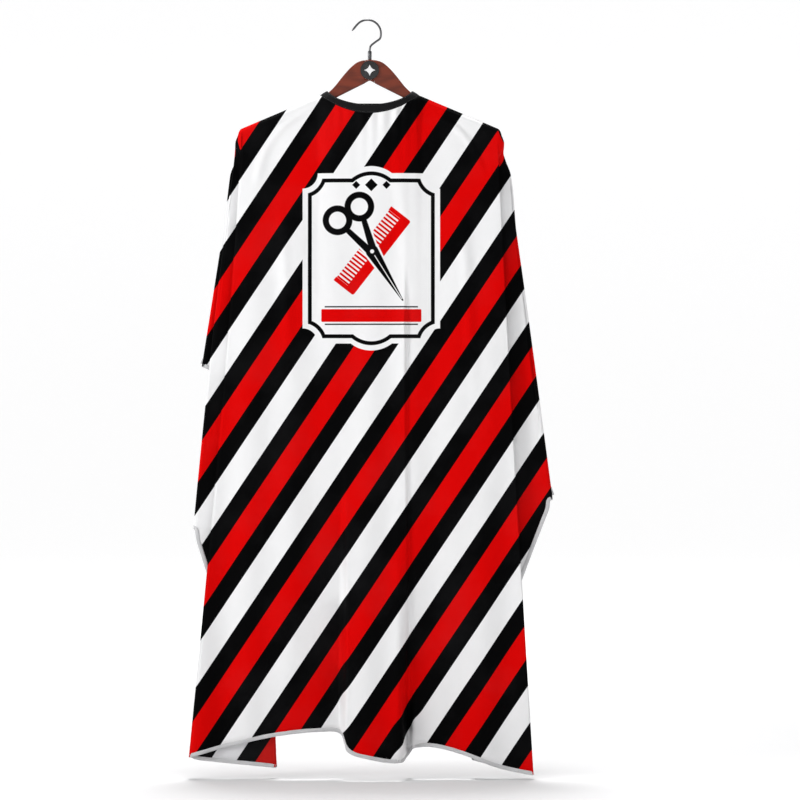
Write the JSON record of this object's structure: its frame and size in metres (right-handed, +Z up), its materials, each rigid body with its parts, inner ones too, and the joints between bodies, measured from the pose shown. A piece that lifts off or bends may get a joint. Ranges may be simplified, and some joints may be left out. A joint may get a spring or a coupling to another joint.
{
  "type": "barber cape on a hanger",
  "caption": "Striped cloth haircutting cape with a neckband and snap closure at the nape, hanging folded over a wooden hanger with a swivel hook.",
  "frame": {"origin": "inside the top of the hook, where a rail carries it, in line with the hook's shank", "axes": "+Z up along the shank, -Y out of the front of the cape, +X to the right as the front is seen"},
  "size_m": [0.6227, 0.073, 1.2984],
  "materials": {
    "hanger_wood": "satin",
    "hook_chrome": "polished",
    "badge_pad": "matte",
    "badge_black": "gloss",
    "badge_white": "satin",
    "cape_cloth": "matte",
    "band_cloth": "matte",
    "snap_nickel": "satin"
  },
  "bodies": {
    "hook": {"hook": "hook_chrome", "hook_nut": "hook_chrome"},
    "hanger": {"hanger_arm_left": "hanger_wood", "hanger_arm_right": "hanger_wood", "hook_ferrule": "hook_chrome", "hook_washer": "hook_chrome", "badge_pad": "badge_pad", "badge_disc": "badge_black", "badge_emblem": "badge_white"},
    "cape": {"cape_front": "cape_cloth", "cape_pleat_left": "cape_cloth", "cape_pleat_right": "cape_cloth", "cape_cascade_left": "cape_cloth", "cape_back_left": "cape_cloth", "cape_back_right": "cape_cloth", "neckband": "band_cloth", "snap_stud_1": "snap_nickel", "snap_stud_2": "snap_nickel", "snap_stud_3": "snap_nickel", "snap_post_1": "snap_nickel", "snap_post_2": "snap_nickel", "snap_post_3": "snap_nickel"},
    "nape_tab": {"nape_tab": "band_cloth", "snap_socket_1": "snap_nickel", "snap_socket_2": "snap_nickel", "snap_cap_1": "snap_nickel", "snap_cap_2": "snap_nickel"}
  },
  "joints": [
    {"name": "hook_swivel", "type": "hinge", "parent": "hook", "child": "hanger", "pos_m": [0, 0, -0.067], "axis": [0, 0, 1], "continuous": true},
    {"name": "cape_lift", "type": "slide", "parent": "hanger", "child": "cape", "axis": [0, 0, 1], "range_m": [0, 0.02]},
    {"name": "nape_tab_open", "type": "hinge", "parent": "cape", "child": "nape_tab", "pos_m": [0.027, 0.0352, -0.145], "axis": [0, 0, -1], "range_deg": [0, 100]}
  ]
}
